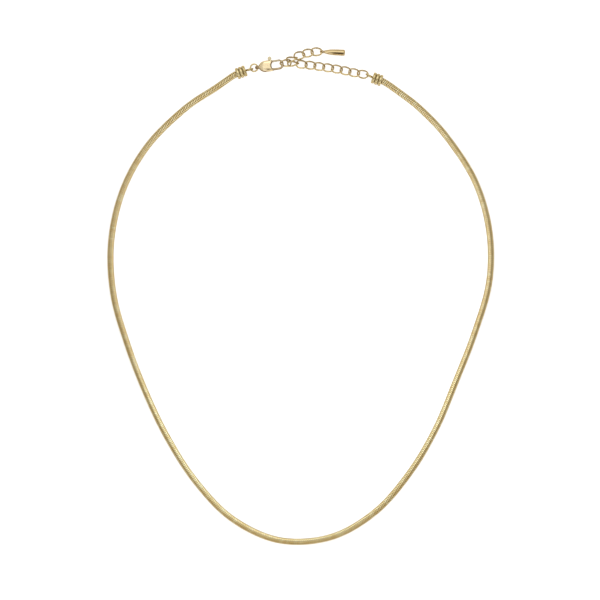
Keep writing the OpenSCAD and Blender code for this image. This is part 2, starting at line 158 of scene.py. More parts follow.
# How straight the chain leaves the caps, and over what length it settles from their middle onto the floor
MOUTH_PULL = 4
SETTLE = 14


# Turning, placing and easing


def turned(roll, pitch, yaw):
    """Turn of a piece that is rolled about its length, pitched up at its far end and turned in the plane."""
    return (
        Matrix.Rotation(math.radians(yaw), 3, "Z")
        @ Matrix.Rotation(math.radians(-pitch), 3, "Y")
        @ Matrix.Rotation(math.radians(roll), 3, "X")
    )


def moved(points, turn=None, place=(0, 0, 0)):
    """Points turned and then moved to their place."""
    points = np.asarray(points, float)
    if turn is not None:
        points = points @ np.array(turn).T
    return points + np.array(place, float)


def level_way(yaw):
    """Unit direction in the plane."""
    angle = math.radians(yaw)
    return np.array([math.cos(angle), math.sin(angle)])


def whole_turn(count):
    """Evenly spaced angles of one turn."""
    return np.arange(count) * 2 * math.pi / count


def level_circle(radius, angle, height=0.0):
    """Points of a circle about Z."""
    return np.stack([radius * np.cos(angle), radius * np.sin(angle), height + 0 * angle], axis=1)


def upright_circle(radius, angle, aside=0.0):
    """Points of a circle about Y."""
    return np.stack([radius * np.cos(angle), aside + 0 * angle, radius * np.sin(angle)], axis=1)


def bowed(wave, power):
    """A sine or cosine made fuller by a power under 1, so that a circle of it grows squarer."""
    return np.sign(wave) * np.abs(wave) ** power


def ease(share):
    """A share from 0 to 1 that starts and ends gently."""
    return share * share * (3 - 2 * share)


def ramp(value, low, high):
    """0 up to the low value, 1 from the high one, and eased between them."""
    return ease(np.clip((value - low) / (high - low), 0, 1))


def band(distance, strength, width):
    """A strength on a line or at a place, falling off softly over a width."""
    return strength * np.exp(-((distance / width) ** 2))


# Meshes


class Skin:
    """Rows of points that a surface is laid over, each row a closed ring. Each point has how deep in a hollow
    it lies, which sets the shade painted on it, and a tone. Ends may be closed with a face, or the last row
    joined to the first."""

    def __init__(self, rows, hollow=0.0, joined=False, closed_ends=False, tone=0.0):
        self.rows = np.asarray(rows, float)
        shape = self.rows.shape[:2]
        self.hollow = np.broadcast_to(np.asarray(hollow, float), shape)
        self.tone = np.broadcast_to(np.asarray(tone, float), shape)
        self.joined = joined
        self.closed_ends = closed_ends

    def placed(self, turn=None, place=(0, 0, 0)):
        self.rows = moved(self.rows, turn, place)
        return self

    def faces(self, first):
        """Faces over the points, the first of which has the given number."""
        count, around = self.rows.shape[:2]
        row = np.arange(count if self.joined else count - 1)[:, None]
        step = np.arange(around)[None, :]
        here = row * around
        ahead = (row + 1) % count * around
        beside = (step + 1) % around
        corners = np.stack([here + step, ahead + step, ahead + beside, here + beside], axis=-1)
        made = (corners.reshape(-1, 4) + first).tolist()
        if self.closed_ends:
            made.append([first + k for k in range(around)])
            made.append([first + (count - 1) * around + k for k in reversed(range(around))])
        return made


def skin_mesh(name, skins, unit=1.0):
    """A mesh of skins, its faces turned outwards."""
    faces = []
    first = 0
    for skin in skins:
        faces += skin.faces(first)
        first += skin.rows.shape[0] * skin.rows.shape[1]
    points = np.concatenate([skin.rows.reshape(-1, 3) for skin in skins])
    mesh = bpy.data.meshes.new(name)
    mesh.from_pydata((points * unit).tolist(), [], faces)
    work = bmesh.new()
    work.from_mesh(mesh)
    bmesh.ops.recalc_face_normals(work, faces=work.faces)
    work.to_mesh(mesh)
    work.free()
    return mesh


def keep_values(mesh, label, values):
    """Keeps a number at each of a mesh's points, for its finish to read."""
    kept = mesh.attributes.new(label, "FLOAT", "POINT")
    kept.data.foreach_set("value", values.astype(np.float32))


def put(name, data):
    """An object at the origin."""
    made = bpy.data.objects.new(name, data)
    bpy.context.scene.collection.objects.link(made)
    return made


def piece(name, mesh, finish, body, node):
    """A named piece of the necklace, riding on its body in place of a CAD node."""
    mesh.materials.clear()
    mesh.materials.append(finish)
    mesh.shade_smooth()
    made = put(name, mesh)
    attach(made, body)
    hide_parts(node)


def skin_piece(name, skins, finish, node):
    """A piece made of skins, on the body that holds all but the lever."""
    mesh = skin_mesh(name, skins, MM)
    keep_values(mesh, "hollow", np.concatenate([skin.hollow.reshape(-1) for skin in skins]))
    keep_values(mesh, "tone", np.concatenate([skin.tone.reshape(-1) for skin in skins]))
    piece(name, mesh, finish, "necklace", node)


def ways_along(line, joined=False):
    """Unit direction of a line at each of its points."""
    if joined:
        way = np.roll(line, -1, axis=0) - np.roll(line, 1, axis=0)
    else:
        way = np.gradient(line, axis=0)
    return way / np.linalg.norm(way, axis=1, keepdims=True)


def frames_along(line, joined=False, up=(0, 0, 1)):
    """For each point of a line: its direction, the level direction across it, and the one that is square
    to both."""
    way = ways_along(line, joined)
    across = np.cross(np.array(up, float), way)
    across /= np.linalg.norm(across, axis=1, keepdims=True)
    return way, across, np.cross(way, across)


def evenly(line, count, joined=False):
    """The same line with evenly spaced points."""
    whole = np.vstack([line, line[:1]]) if joined else line
    steps = np.linalg.norm(np.diff(whole, axis=0), axis=1)
    run = np.concatenate([[0], np.cumsum(steps)])
    at = np.linspace(0, run[-1], count, endpoint=not joined)
    return np.stack([np.interp(at, run, whole[:, k]) for k in range(3)], axis=1)


def wire(line, radius, sides, joined=False, up=(0, 0, 1), **rest):
    """A round wire along a line; its radius may vary along it."""
    across, high = frames_along(line, joined, up)[1:]
    angle = whole_turn(sides)[None, :, None]
    radius = np.broadcast_to(np.asarray(radius, float), (len(line),))[:, None, None]
    spokes = across[:, None, :] * np.cos(angle) + high[:, None, :] * np.sin(angle)
    return Skin(line[:, None, :] + radius * spokes, joined=joined, **rest)


def turned_profile(outline, steps):
    """An outline turned round the X axis. Each of its points is a place along X, a radius, and how deep in a
    hollow it lies, which sets the shade painted there."""
    outline = np.asarray(outline, float)
    angle = whole_turn(steps)
    rows = np.zeros((len(outline), steps, 3))
    rows[:, :, 0] = outline[:, 0:1]
    rows[:, :, 1] = outline[:, 1:2] * np.cos(angle)
    rows[:, :, 2] = outline[:, 1:2] * np.sin(angle)
    return Skin(rows, hollow=outline[:, 2:3] * np.ones(steps))


def upright_hoop(radius, thickness, count, sides):
    """A wire hoop that stands upright along X, its middle at the origin."""
    return wire(upright_circle(radius, whole_turn(count)), thickness / 2, sides, joined=True, up=(0, 1, 0))


# Finishes


class Value:
    """A number that varies over a surface, for plain arithmetic on a node's socket."""

    def __init__(self, graph, socket):
        self.graph = graph
        self.socket = socket

    def _with(self, operation, *terms):
        node = self.graph.node("Math", {"operation": operation}, *terms)
        return Value(self.graph, node.outputs[0])

    def __add__(self, other):
        return self._with("ADD", self, other)

    def __radd__(self, other):
        return self._with("ADD", other, self)

    def __mul__(self, other):
        return self._with("MULTIPLY", self, other)

    def __rmul__(self, other):
        return self._with("MULTIPLY", other, self)

    def __abs__(self):
        return self._with("ABSOLUTE", self)

    def or_more(self, other):
        return self._with("MAXIMUM", self, other)


class Graph:
    """A node tree and the ways to write into it."""

    def __init__(self, tree):
        self.tree = tree

    def feed(self, socket, value):
        if isinstance(value, Value):
            self.tree.links.new(value.socket, socket)
        elif isinstance(value, bpy.types.NodeSocket):
            self.tree.links.new(value, socket)
        else:
            socket.default_value = value

    def node(self, kind, settings=None, *values, **named):
        """A node with its settings, then the values or links of its sockets. A ramp's stops are its first,
        its last and then those between."""
        made = self.tree.nodes.new("ShaderNode" + kind)
        for label, setting in (settings or {}).items():
            if label == "stops":
                for k, (place, colour) in enumerate(setting):
                    stop = made.color_ramp.elements.new(place) if k > 1 else made.color_ramp.elements[k]
                    stop.position = place
                    stop.color = (*colour, 1)
            else:
                setattr(made, label, setting)
        for k, value in enumerate(values):
            self.feed(made.inputs[k], value)
        for label, value in named.items():
            self.feed(made.inputs[label.replace("_", " ")], value)
        return made

    def value(self, kind, settings=None, output=0, **named):
        return Value(self, self.node(kind, settings, **named).outputs[output])

    def between(self, value, low, high):
        """0 at the low value and 1 at the high one."""
        return self.value("MapRange", {"clamp": True}, Value=value, From_Min=low, From_Max=high)

    def mixed(self, factor, first, second):
        """Two colours mixed."""
        node = self.node("Mix", {"data_type": "RGBA"})
        self.feed(node.inputs["Factor"], factor)
        self.feed(node.inputs[6], (*first, 1) if isinstance(first, tuple) else first)
        self.feed(node.inputs[7], (*second, 1) if isinstance(second, tuple) else second)
        return node.outputs[2]


class Finish(Graph):
    """A procedural finish: its material, its shader and the nodes that feed it."""

    def __init__(self, name):
        self.material = bpy.data.materials.new(name)
        self.material.use_nodes = True
        super().__init__(self.material.node_tree)
        self.shader = self.tree.nodes["Principled BSDF"]

    def set(self, label, value):
        self.feed(self.shader.inputs[label], value)

    def noise(self, size, detail, rough=0.55, stretch=(1, 1, 1)):
        """Soft noise of about 0 to 1 with features of a size in millimetres, drawn out where the stretch is
        under 1."""
        scale = [s / size / MM for s in stretch]
        place = self.node("TexCoord").outputs["Object"]
        place = self.node("VectorMath", {"operation": "MULTIPLY"}, place, scale).outputs[0]
        return self.value("TexNoise", Vector=place, Scale=1.0, Detail=detail, Roughness=rough)

    def attribute(self, label):
        return self.value("Attribute", {"attribute_name": label}, output="Fac")

    def bump(self, height, strength, distance):
        return self.node("Bump", None, Height=height, Strength=strength, Distance=distance * MM).outputs[0]


# What shows in the gold: the slow drift between its two tones, over plain metal and over the plates, where
# the painted shade in the hollows begins and ends, the hairlines each way, the smears and the hammered grain.
# Sizes are in millimetres, ranges in the noise's values.
DRIFT_SIZE = 2.6
DRIFT_RANGE = (0.35, 0.68)
PLATES_DRIFT_RANGE = (0.2, 0.85)
PAINTED_SHADE_RANGE = (0.05, 1.0)
HAIR_SIZE = 0.05
HAIR_STRETCH = (0.05, 1.0, 1.0)
CROSS_HAIR_SIZE = 0.06
CROSS_HAIR_STRETCH = (1.0, 0.07, 1.0)
HAIR_RANGE = (0.2, 0.36)
SMEAR_SIZE = 0.9
SMEAR_RANGE = (0.35, 0.7)
SMEAR_SHARE = 0.5
# How much rougher the metal is where shade is painted in the hollows
HOLLOW_ROUGHNESS = 0.3
GRAIN_SIZE = 0.35
HAIR_HEIGHT = 0.35
GRAIN_HEIGHT = 0.65
RELIEF_STRENGTH = 0.12
RELIEF_DEPTH = 0.02


def gold(name, bright, deep, shade, rough, rim, scratch=0.06, plates=False):
    """Polished gold: a slow drift between two tones, a painted shade in the hollows and creases together with
    the links' solder stains, hairline scratches in two directions and a faint hammered unevenness. The rim is
    its tone where it is seen at a slant. Plates differ in tone from one to the next."""
    finish = Finish(name)
    hollow = finish.attribute("hollow")
    drift = finish.noise(DRIFT_SIZE, detail=2.0)
    tone = finish.mixed(finish.between(drift, *(PLATES_DRIFT_RANGE if plates else DRIFT_RANGE)), bright, deep)
    if plates:
        tone = finish.mixed(finish.attribute("tone"), tone, deep)
    hairs = finish.noise(HAIR_SIZE, detail=2.0, stretch=HAIR_STRETCH)
    cross_hairs = finish.noise(CROSS_HAIR_SIZE, detail=2.0, stretch=CROSS_HAIR_STRETCH)
    lines = finish.between(hairs * cross_hairs, *HAIR_RANGE)
    smear = finish.between(finish.noise(SMEAR_SIZE, detail=4.0, rough=0.6), *SMEAR_RANGE)
    relief = lines * HAIR_HEIGHT + finish.noise(GRAIN_SIZE, detail=1.0) * GRAIN_HEIGHT
    # Painted shade: the colour goes to the shade tone where the hollow values are high
    finish.set("Base Color", finish.mixed(finish.between(hollow, *PAINTED_SHADE_RANGE), tone, shade))
    worn = scratch * lines + SMEAR_SHARE * scratch * smear
    finish.set("Roughness", rough + worn + HOLLOW_ROUGHNESS * hollow)
    finish.set("Normal", finish.bump(relief, RELIEF_STRENGTH, RELIEF_DEPTH))
    finish.set("Metallic", 1.0)
    finish.set("Specular Tint", (*rim, 1))
    return finish.material


# Snake chain

# The plates: their pitch, the share of it that each covers, the zigzag of their edges round the chain, and
# the crease that the zigzag's turns press into them, with the shade painted along it
PLATE_PITCH = 0.62
PLATE_COVER = 0.83
PLATE_ROUND = 32
PLATE_WAVES = 4
PLATE_WAVE_PHASE = 1 / 8
PLATE_WAVE_HEIGHT = 0.2
CREASE_WIDTH = 0.3
CREASE_DEPTH = 0.035
CREASE_SHADE = 0.55
# One plate's section, from its rear foot over its crown to its front foot: place in half plates, radius as a
# share of the chain's, and how deep in the hollow between two plates it lies, which sets the shade painted
# there
PLATE_SECTION = [
    (-0.92, 0.84, 1.0), (-0.96, 0.91, 0.8), (-0.82, 0.957, 0.35), (-0.42, 0.992, 0.0), (0.0, 1.0, 0.0),
    (0.42, 0.992, 0.0), (0.82, 0.957, 0.35), (0.96, 0.91, 0.8), (0.92, 0.84, 1.0),
]
# Points under this share of the radius are a plate's feet, which the crease spares
PLATE_FOOT = 0.9
# The inner tube under the plates, as a share of the chain's radius; it is painted in full shade
CORE_SHARE = 0.87
CORE_SIDES = 16
ROUTE_STEPS = 60
TONE_SEED = 7


def chain_line(step):
    """The chain's middle line from inside the left cap to inside the right one, a point at every step."""
    caps = ((LEFT_FACE, LEFT_CAP_YAW), (RIGHT_FACE, RIGHT_CAP_YAW))
    left, right = [np.array(face[:2]) + CAP_LENGTH * level_way(yaw) for face, yaw in caps]
    chosen = [(across * LOOP_W, CAPS_LEVEL + along * LOOP_L) for across, along in CHAIN_ROUTE]
    stops = np.vstack([left, chosen, right])
    last = len(stops) - 1
    pulls = np.zeros_like(stops)
    pulls[0] = MOUTH_PULL * level_way(LEFT_CAP_YAW)
    pulls[1:-1] = (stops[2:] - stops[:-2]) / 2
    pulls[last] = -MOUTH_PULL * level_way(RIGHT_CAP_YAW)
    line = []
    for i in range(last):
        for t in np.linspace(0, 1, ROUTE_STEPS, endpoint=i == last - 1):
            line.append(
                stops[i] * (1 - ease(t))
                + stops[i + 1] * ease(t)
                + pulls[i] * (t * (1 - t) ** 2)
                - pulls[i + 1] * (t * t * (1 - t))
            )
    line = np.array(line)
    from_cap = np.minimum(np.linalg.norm(line - left, axis=1), np.linalg.norm(line - right, axis=1))
    height = CHAIN_R + (CAP_R - CHAIN_R) * (1 - ease(np.minimum(1, from_cap / SETTLE)))
    ends = [[*(np.array(face[:2]) + CAP_END * level_way(yaw)), CAP_R] for face, yaw in caps]
    line = np.vstack([ends[0], np.column_stack([line, height]), ends[1]])
    length = np.linalg.norm(np.diff(line, axis=0), axis=1).sum()
    return evenly(line, int(length / step) + 1)


def chain_plates(middles, ways, sides, tops, tones):
    """Plates round the chain. Each one's edge is a zigzag, and nests in the next one's."""
    angle = whole_turn(PLATE_ROUND)
    turn = (angle / math.pi + PLATE_WAVE_PHASE) * PLATE_WAVES
    swing = np.abs((turn % 2) - 1) * 2 - 1
    crease = band(1 - np.abs(swing), 1, CREASE_WIDTH)
    place, share, hollow = np.array(PLATE_SECTION).T[:, :, None]
    along = place * (PLATE_PITCH * PLATE_COVER / 2) + PLATE_WAVE_HEIGHT * swing
    radius = CHAIN_R * (share - CREASE_DEPTH * crease * (share > PLATE_FOOT))
    # Painted shade in the hollows between plates and along the creases
    depth = np.clip(hollow + CREASE_SHADE * crease, 0, 1)
    skins = []
    for middle, way, side, top, tone in zip(middles, ways, sides, tops, tones):
        spoke = side * np.cos(angle)[:, None] + top * np.sin(angle)[:, None]
        rows = middle + along[:, :, None] * way + radius[:, :, None] * spoke
        skins.append(Skin(rows, hollow=depth, tone=tone))
    return skins


def make_chain(finish):
    """The whole strand in two halves, each the plates with the inner tube that shows between them."""
    line = chain_line(PLATE_PITCH)
    way, across, high = frames_along(line)
    count = len(line)
    tones = np.random.default_rng(TONE_SEED).uniform(0, 1, count)
    middle = count // 2
    halves = (("snake_chain_left_half", 0, middle), ("snake_chain_right_half", middle, count))
    for name, first, last in halves:
        pick = slice(first, last)
        skins = chain_plates(line[pick], way[pick], across[pick], high[pick], tones[pick])
        core = line[max(first - 1, 0):last]
        # Painted shade: the inner tube takes the full shade tone
        skins.append(wire(core, CORE_SHARE * CHAIN_R, CORE_SIDES, hollow=1.0, closed_ends=True))
        skin_piece(name, skins, finish, "snake_chain")


# End caps

# The closed face, a little dished: depth, and radius as a share of the cap's
CAP_DISH = [(0.10, 0.0), (0.05, 0.5), (0.0, 0.72)]
# A rib's round in steps of degrees, how full it is, and the depth of the groove at its foot and the shade
# painted in it
RIB_STEP = 12
RIB_FULLNESS = 0.62
RIB_FOOT = 0.03
GROOVE_SHADE = 0.5
# The open end: depth in the bore, width over the bore's, and how dark, a painted shade that is full down the
# bore
CAP_LIP = [(0.0, 0.12, 0.2), (0.03, 0.03, 0.4), (0.15, 0.0, 0.8)]
CAP_BORE_DEPTH = 1.4
# The solder between a cap's face and its eye: place along the cap, radius, and how dark
EYE_FILLET = [(0.08, 0.52, 0.5), (0.0, 0.44, 0.3), (-0.08, 0.34, 0.15), (-0.16, 0.24, 0.05), (-0.22, 0.12, 0),
              (-0.24, 0.0, 0)]
CAP_STEPS = 72
FILLET_STEPS = 28
EYE_STEPS = 72
EYE_SIDES = 20


def cap_profile():
    """Outline of a cap from the middle of its closed end over the ribs and into its bore, with how deep each
    point lies in a groove, which sets the shade painted there."""
    points = [(depth, share * CAP_R, 0) for depth, share in CAP_DISH]
    for k in range(CAP_RIBS):
        middle = CAP_RIB_W / 2 + k * CAP_RIB_PITCH
        for a in range(-90, 91, RIB_STEP):
            swell = math.cos(math.radians(a))
            place = middle + 0.5 * CAP_RIB_W * math.sin(math.radians(a))
            radius = CAP_R - CAP_GROOVE - RIB_FOOT + (CAP_GROOVE + RIB_FOOT) * swell ** RIB_FULLNESS
            # Painted shade, deepest at the groove's floor
            points.append((place, radius, GROOVE_SHADE * (1 - swell) ** 3))
    points += [(CAP_LENGTH - depth, CAP_BORE_R + wider, dark) for depth, wider, dark in CAP_LIP]
    bore_floor = CAP_LENGTH - CAP_BORE_DEPTH
    # The bore's floor is in full painted shade
    return points + [(bore_floor, CAP_BORE_R, 1), (bore_floor, 0.0, 1)]


def make_cap(node, face, cap_yaw, eye_yaw, finish):
    """A ribbed cap with its soldered eye."""
    cap_turn = turned(0, 0, cap_yaw)
    shell = turned_profile(cap_profile(), CAP_STEPS).placed(cap_turn, face)
    fillet = turned_profile(EYE_FILLET, FILLET_STEPS).placed(cap_turn, face)
    eye = upright_hoop(EYE_R, EYE_WIRE, EYE_STEPS, EYE_SIDES)
    eye.placed(None, (-EYE_R - EYE_SEAT * EYE_WIRE, 0, 0))
    eye.placed(turned(0, 0, eye_yaw), face)
    skin_piece(node + "_ribbed", [shell, eye, fillet], finish, node)


# Jump ring

# Where the wire is cut and how far round it goes, in degrees, and the share of its width at its cut ends
RING_CUT = 97.4
RING_SWEEP = 358.6
RING_END_SHARE = 0.93
RING_STEPS = 96
RING_SIDES = 20


def make_jump_ring(finish):
    """A bent wire ring whose two cut ends meet."""
    line = level_circle(RING_R, np.radians(np.linspace(RING_CUT, RING_CUT + RING_SWEEP, RING_STEPS)))
    radius = np.full(RING_STEPS, RING_WIRE / 2)
    radius[[0, -1]] *= RING_END_SHARE
    hollow = np.zeros((RING_STEPS, RING_SIDES))
    hollow[[0, -1]] = 1.0
    skin = wire(line, radius, RING_SIDES, hollow=hollow, closed_ends=True)
    skin.placed(turned(0, -RING_SLOPE, RING_YAW), RING_CENTRE)
    skin_piece("jump_ring_wire", [skin], finish, "jump_ring")


# Extender links

# Steps round a link's oval, before and after its points are spaced evenly
LINK_FINE_STEPS = 1440
LINK_STEPS = 80
LINK_SIDES = 16
# The soldered joint, in the middle of a long side: a bead, a groove in it and a stain, each with its strength
# as a share and its width in millimetres
SEAM_STEP = 20
SEAM_BEAD = (0.03, 0.32)
SEAM_GROOVE = (0.07, 0.05)
SEAM_STAIN = (0.6, 0.06)
# The wire is drawn thinner at a link's ends than in the middle of its sides
LINK_END_SHARE = 0.95
LINK_SIDE_SWELL = 0.1
LINK_SIDE_REACH = 0.62
# The long side with the joint is rougher and carries a painted shade: how much, and between which places
# across, as shares of the link's half width
SIDE_SHADE = 0.35
SIDE_SHADE_RANGE = (-0.2, 0.8)


def link_turn(i):
    return turned(*LINK_TABLE[i][1:4])


def link_centre(i):
    """The middle of a link, which follows from where its wire hangs in its carrier's."""
    if i == HOOKED:
        inner_end = Vector(HOOKED_END)
    else:
        carrier, _, _, yaw, slack, aside, lift = LINK_TABLE[i]
        hang = Vector((-LINK_NEST - LINK_WIRE * slack, LINK_WIRE * aside, LINK_WIRE * lift))
        inner_end = link_far_end(carrier) + turned(0, 0, yaw) @ hang
    return inner_end + link_turn(i) @ Vector((LINK_A, 0, 0))


def link_far_end(i):
    return link_centre(i) + link_turn(i) @ Vector((LINK_A, 0, 0))


def link_line():
    """A link's middle line: an oval, twisted so that two links lie flat through each other."""
    angle = np.linspace(0, 2 * math.pi, LINK_FINE_STEPS, endpoint=False)
    x = LINK_A * bowed(np.cos(angle), 2 / LINK_OVAL)
    y = LINK_B * bowed(np.sin(angle), 2 / LINK_OVAL)
    return evenly(np.stack([x, y, -LINK_TWIST * x * y], axis=1), LINK_STEPS, joined=True)


def make_links(finish):
    """Curb links, each with the soldered joint of its wire on the long side that carries the painted shade.
    """
    line = link_line()
    from_seam = np.linalg.norm(line - line[SEAM_STEP], axis=1)
    solder = 1 + band(from_seam, *SEAM_BEAD) - band(from_seam, *SEAM_GROOVE)
    side = ease(np.clip(1 - np.abs(line[:, 0]) / (LINK_SIDE_REACH * LINK_A), 0, 1))
    radius = (LINK_END_SHARE + LINK_SIDE_SWELL * side) * LINK_WIRE / 2 * solder
    # Painted shade on one long side of each link, with the stain at the solder
    side_shade_and_stain = SIDE_SHADE * ramp(line[:, 1] / LINK_B, *SIDE_SHADE_RANGE) + band(from_seam, *SEAM_STAIN)
    hollow = np.repeat(side_shade_and_stain[:, None], LINK_SIDES, axis=1)
    for i in LINK_TABLE:
        skin = wire(line, radius, LINK_SIDES, joined=True, hollow=hollow)
        skin.placed(link_turn(i), link_centre(i))
        skin_piece(f"curb_link_{i:02d}", [skin], finish, f"extender_link_{i:02d}")


# Drop

# How it swells from its neck: place as a share of its length, radius as a share of its own
DROP_SWELL = [(0.2, 0.72), (0.38, 0.88), (0.6, 0.95)]
# The neck's closed top: place, radius, and how dark, a painted shade beside the eye
DROP_TOP = [(-0.1, 0.0, 0.6), (-0.08, 0.22, 0.6), (-0.02, 0.36, 0.5)]
DROP_START = 0.03
# The shade painted on the neck beside its eye, and the length over which it fades
NECK_SHADE = 0.4
NECK_SHADE_LENGTH = 0.25
# How far the polished skin lies within the solid, and the crown of the blunt end
DROP_INSET = 0.012
DROP_CROWN = 0.06
DROP_CROWN_SHARES = (0.8, 0.5, 0.2, 0.0)
# The round rim before the crown, in steps of degrees
DROP_RIM_ANGLES = range(10, 91, 8)
DROP_ROWS = 44
DROP_STEPS = 56
DROP_EYE_STEPS = 56
DROP_EYE_SIDES = 16


def drop_profile():
    """Outline of the drop from its neck over its round rim to the middle of its blunt end."""
    knots = [(0.0, DROP_NECK_R)]
    knots += [(along * DROP_LENGTH, share * DROP_R) for along, share in DROP_SWELL]
    knots += [(DROP_LENGTH - DROP_EDGE, DROP_R)]
    swelling = np.polyfit(*np.array(knots).T, 4)
    rim_at = DROP_LENGTH - DROP_EDGE - DROP_CROWN
    outline = list(DROP_TOP)
    for x in np.linspace(DROP_START, rim_at, DROP_ROWS):
        shade = NECK_SHADE * math.exp(-x / NECK_SHADE_LENGTH)
        outline.append((x, np.polyval(swelling, x) - DROP_INSET, shade))
    for a in np.radians(DROP_RIM_ANGLES):
        radius = DROP_R - DROP_EDGE - DROP_INSET + DROP_EDGE * math.cos(a)
        outline.append((rim_at + DROP_EDGE * math.sin(a), radius, 0))
    for share in DROP_CROWN_SHARES:
        outline.append((DROP_LENGTH - DROP_CROWN * share ** 2, share * (DROP_R - DROP_EDGE), 0))
    return outline


def make_drop(finish):
    """The smooth drop: a narrow neck that swells to a fat, blunt end, hung by a small eye."""
    solid = turned_profile(drop_profile(), DROP_STEPS).placed(None, (DROP_EYE_R, 0, 0))
    eye = upright_hoop(DROP_EYE_R, DROP_EYE_WIRE, DROP_EYE_STEPS, DROP_EYE_SIDES)
    eye.placed(turned(-LINK_LEAN, 0, 0))
    for skin in (solid, eye):
        skin.placed(turned(0, DROP_PITCH, DROP_YAW), DROP_PLACE)
    skin_piece("drop_polished", [solid, eye], finish, "extender_drop")


# Clasp

# Points round a bar and round a drum
BAR_ROUND = 40
DRUM_ROUND = 64
# How much each round of softening evens out a melted skin
SOFTENING = 0.5


def rounded_bar(stations, power, around=BAR_ROUND):
    """A closed bar along X. Each station is its place, its lower and upper side and its half thickness, and
    its section is an oval between an ellipse, power 2, and a rectangle."""
    angle = whole_turn(around)
    wide = bowed(np.cos(angle), 2 / power)
    high = bowed(np.sin(angle), 2 / power)
    rows = []
    for x, low, top, half in stations:
        rows.append(np.stack([x + 0 * angle, (low + top) / 2 + (top - low) / 2 * wide, half * high], axis=1))
    return Skin(rows, closed_ends=True)


def drum(radius, half, at, turn=None, edge=0.0):
    """A closed round block about Z, its rims taken off by the edge."""
    levels = ((-half, radius - edge), (-half + edge, radius), (half - edge, radius), (half, radius - edge))
    rows = [level_circle(r, whole_turn(DRUM_ROUND), z) for z, r in levels]
    return Skin(rows, closed_ends=True).placed(turn, at)


def block(low, high, yaw=0.0, at=(0, 0, 0)):
    """A plain block between two corners, for cutting."""
    corners = [(low[1], low[2]), (high[1], low[2]), (high[1], high[2]), (low[1], high[2])]
    rows = [[(x, y, z) for y, z in corners] for x in (low[0], high[0])]
    return Skin(rows, closed_ends=True).placed(turned(0, 0, yaw), at)


def baked(rough):
    """The mesh that an object's modifiers make. The object is used up."""
    bpy.context.view_layer.update()
    mesh = bpy.data.meshes.new_from_object(rough.evaluated_get(bpy.context.evaluated_depsgraph_get()))
    bpy.data.objects.remove(rough)
    return mesh


def cast(name, parts, voxel, rounds, painted_shade, finish, body, node):
    """A cast piece. Each part is a list of solids and a list of cutters taken from them; the parts are then
    melted into one skin with soft edges. The painted shade tells how dark each of its points is."""
    shaped = bmesh.new()
    for k, (solids, cutters) in enumerate(parts):
        rough = put(f"{name}_part_{k}", skin_mesh(f"{name}_part_{k}", solids))
        tools = [put(f"{name}_cut_{k}", skin_mesh(f"{name}_cut_{k}", [cutter])) for cutter in cutters]
        for tool in tools:
            cut = rough.modifiers.new("cut", "BOOLEAN")
            cut.operation = "DIFFERENCE"
            cut.solver = "EXACT"
            cut.object = tool
        shaped.from_mesh(baked(rough))
        for tool in tools:
            bpy.data.objects.remove(tool)
    joined = bpy.data.meshes.new(name + "_joined")
    shaped.to_mesh(joined)
    shaped.free()
    melt = put(name + "_melt", joined)
    even = melt.modifiers.new("even", "REMESH")
    even.mode = "VOXEL"
    even.voxel_size = voxel
    soft = melt.modifiers.new("soft", "SMOOTH")
    soft.factor = SOFTENING
    soft.iterations = rounds
    mesh = baked(melt)
    mesh.name = name
    points = np.empty(3 * len(mesh.vertices), dtype=np.float32)
    mesh.vertices.foreach_get("co", points)
    # Painted shade at each point, kept for the finish
    keep_values(mesh, "hollow", np.clip(painted_shade(*points.reshape(-1, 3).T), 0, 1))
    mesh.transform(Matrix.Translation(CLASP_PLACE) @ turned(0, 0, CLASP_YAW).to_4x4())
    mesh.transform(Matrix.Scale(MM, 4))
    piece(name, mesh, finish, body, node)


# The side of the block that parts the gate from the hook at their slanted joint
JOINT_SPAN = 1.6
# The body's section, the grain of its melted skin and how often that is smoothed
BODY_STATIONS = 56
BODY_POWER = 3.4
BODY_ROUND = 64
BODY_VOXEL = 0.042
BODY_ROUNDS = 4
# The hollow front edge is cut by a round tool that flares: height, and how much wider it is there
FRONT_FLARE = [(-1.7, 1.28), (-0.7, 0), (0.7, 0), (1.7, 1.28)]
FRONT_ROUND = 96
# The slot for the lever is open to the front and the top
SLOT_CORNER = (6.5, 4.0)
# The body leaves room for the eye: radius past the hole, in eye walls, and half its width, in eye widths
EYE_ROOM_WALLS = 0.25
EYE_ROOM_WIDTHS = 0.6
# The eye's section is a rounded square: the powers of its width and its height
EYE_RIM_ROUND = 72
EYE_RIM_STEPS = 24
EYE_RIM_POWERS = (0.7, 0.8)
# The hook's wire begins inside the body, thicker, and is at its own size a little way out
HOOK_ROOT = 0.4
HOOK_ROOT_SWELL = 1.16
HOOK_SETTLE = 0.8
HOOK_SWEEP = (-90, 100)
HOOK_STEPS = 60
SHANK_STEPS = 29
HOOK_SIDES = 28

# Painted shade on the clasp: strengths from 0 to 1, with the widths over which they fall off in millimetres
EYE_SHADE = 0.75
EYE_SHADE_END = (0.1, 0.6)
EYE_SHADE_HALF_W = 0.6
FRONT_BAND = (0.95, 0.2)
FRONT_BAND_IN = 0.1
FRONT_BAND_PAST = 0.05
NOSE_BAND = (0.9, 0.22)
NOSE_BAND_IN = 0.08
NOSE_BAND_START = 0.3
NOSE_BAND_END = (2.0, 3.2)
SLOT_BAND = (0.6, 0.06)
SLOT_BAND_FROM = 0.6
TIP_BAND = (0.6, 0.25)
HOOK_SHADE = 0.45
HOOK_SHADE_IN = 0.1
HOOK_EDGE_BAND = (0.4, 0.2)
LEVER_ROOT_BAND = (0.7, 0.35)
LEVER_ROOT_SIDE = 0.35
GATE_SHADE = 0.25
GATE_EDGE_BAND = (0.6, 0.24)
KNOB_BAND = (0.28, 1.1)
KNOB_BAND_LIFT = 0.2
KNOB_BAND_REACH = 0.6


